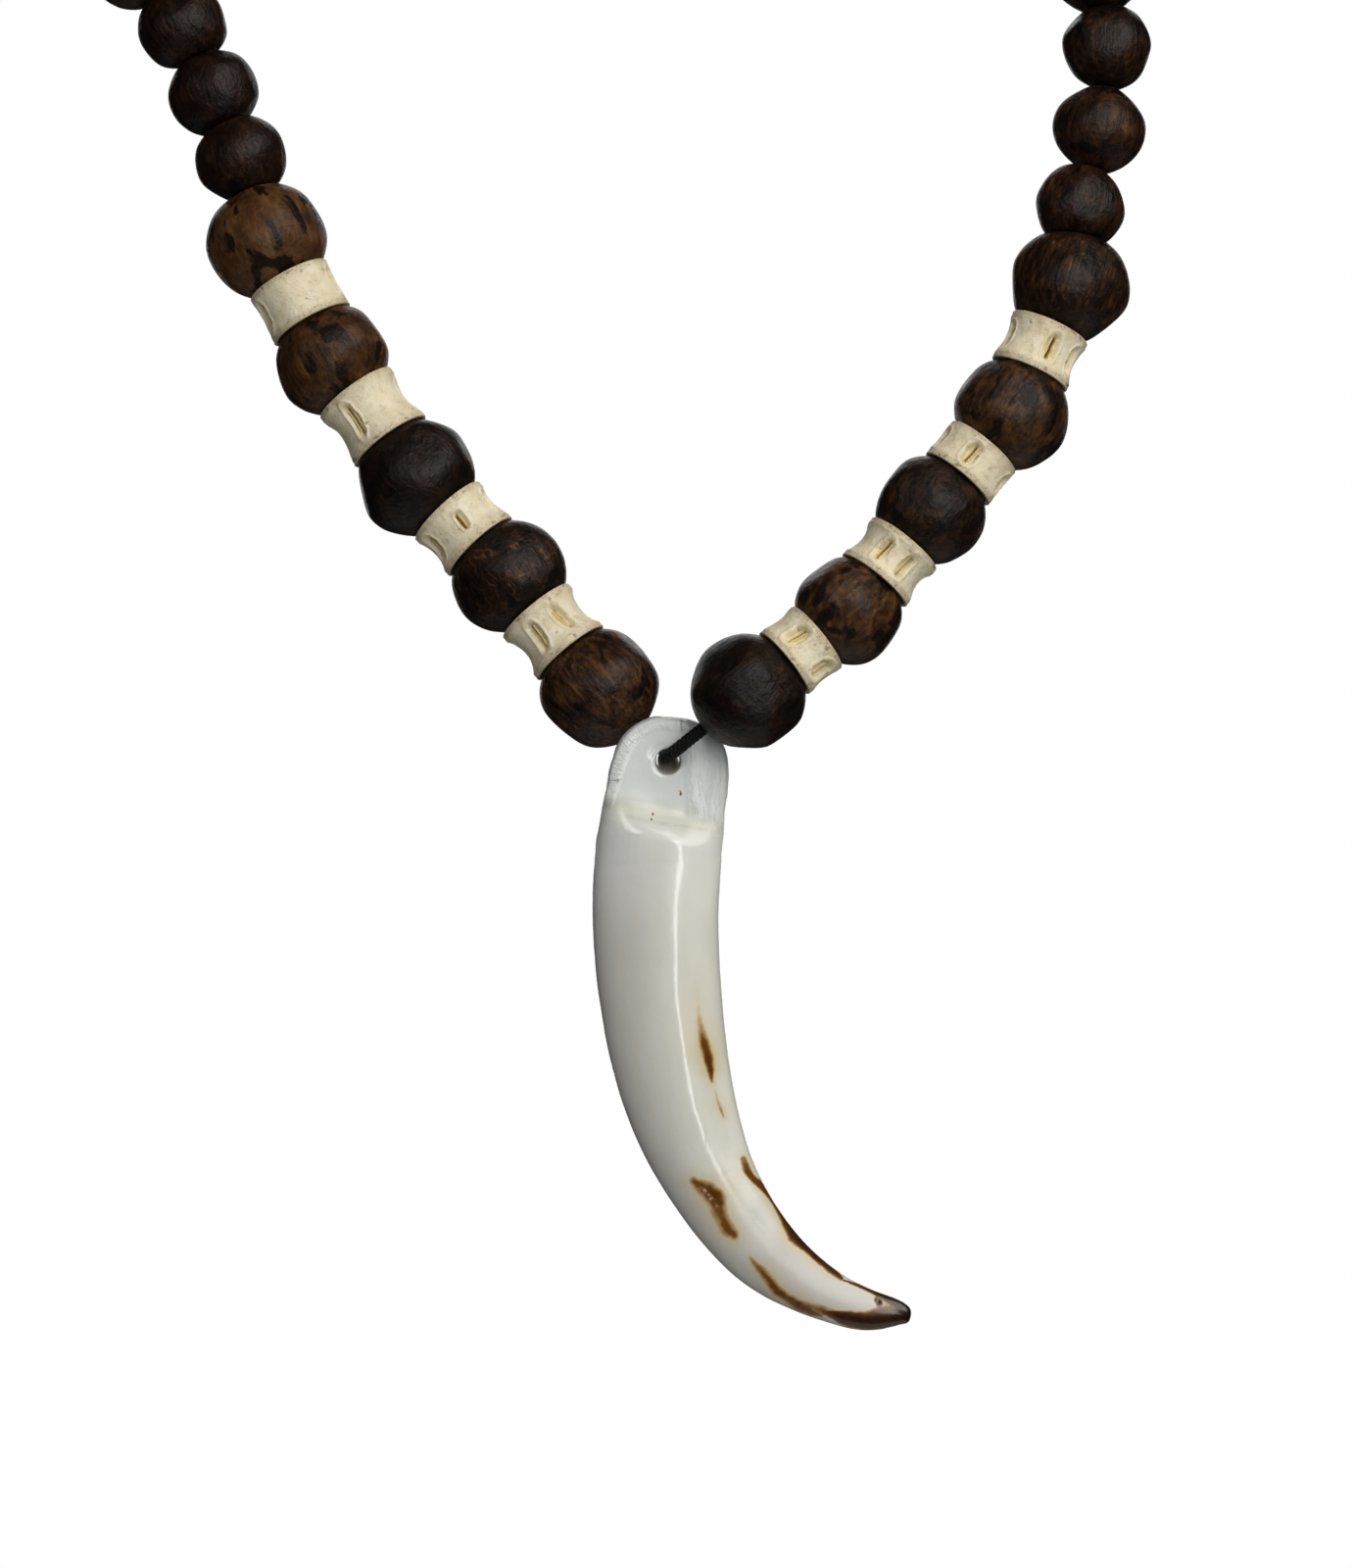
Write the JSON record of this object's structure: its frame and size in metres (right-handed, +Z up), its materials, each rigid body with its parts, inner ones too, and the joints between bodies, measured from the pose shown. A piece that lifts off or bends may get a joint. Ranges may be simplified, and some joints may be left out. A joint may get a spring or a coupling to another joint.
{
  "type": "beaded necklace",
  "caption": "Beaded necklace of turned wood balls and waisted bone spacers with a curved tusk-shaped pendant that swings on the cord, held in the shape it hangs in round a neck.",
  "frame": {"origin": "at the nape, on the inner side of the clasp, where the necklace rests on the back of the neck", "axes": "+Z up, +X to the right of a viewer who faces the pendant, +Y away from that viewer"},
  "size_m": [0.1149, 0.1221, 0.1812],
  "materials": {
    "turned_wood": "semi-gloss varnish",
    "dark_wood": "semi-gloss varnish",
    "bone": "dry bone, lightly polished",
    "tusk": "high polish",
    "cord": "braided, matt",
    "clasp_metal": "plain polish"
  },
  "bodies": {
    "strand": {"wood_left_1": "turned_wood", "wood_left_2": "turned_wood", "wood_left_3": "turned_wood", "wood_left_4": "turned_wood", "wood_left_5": "turned_wood", "wood_right_1": "turned_wood", "wood_right_2": "turned_wood", "wood_right_3": "turned_wood", "wood_right_4": "turned_wood", "wood_right_5": "turned_wood", "bone_left_1": "bone", "bone_left_2": "bone", "bone_left_3": "bone", "bone_left_4": "bone", "bone_right_1": "bone", "bone_right_2": "bone", "bone_right_3": "bone", "bone_right_4": "bone", "small_left_1": "dark_wood", "small_left_2": "dark_wood", "small_left_3": "dark_wood", "small_right_1": "dark_wood", "small_right_2": "dark_wood", "small_right_3": "dark_wood", "string_left": "dark_wood", "string_right": "dark_wood", "thread": "cord", "clasp": "clasp_metal"},
    "pendant": {"pendant": "tusk"}
  },
  "joints": [
    {"name": "pendant_swing", "type": "hinge", "parent": "strand", "child": "pendant", "pos_m": [0, -0.106, -0.11968], "axis": [0, 1, 0], "range_deg": [-12, 12]}
  ]
}
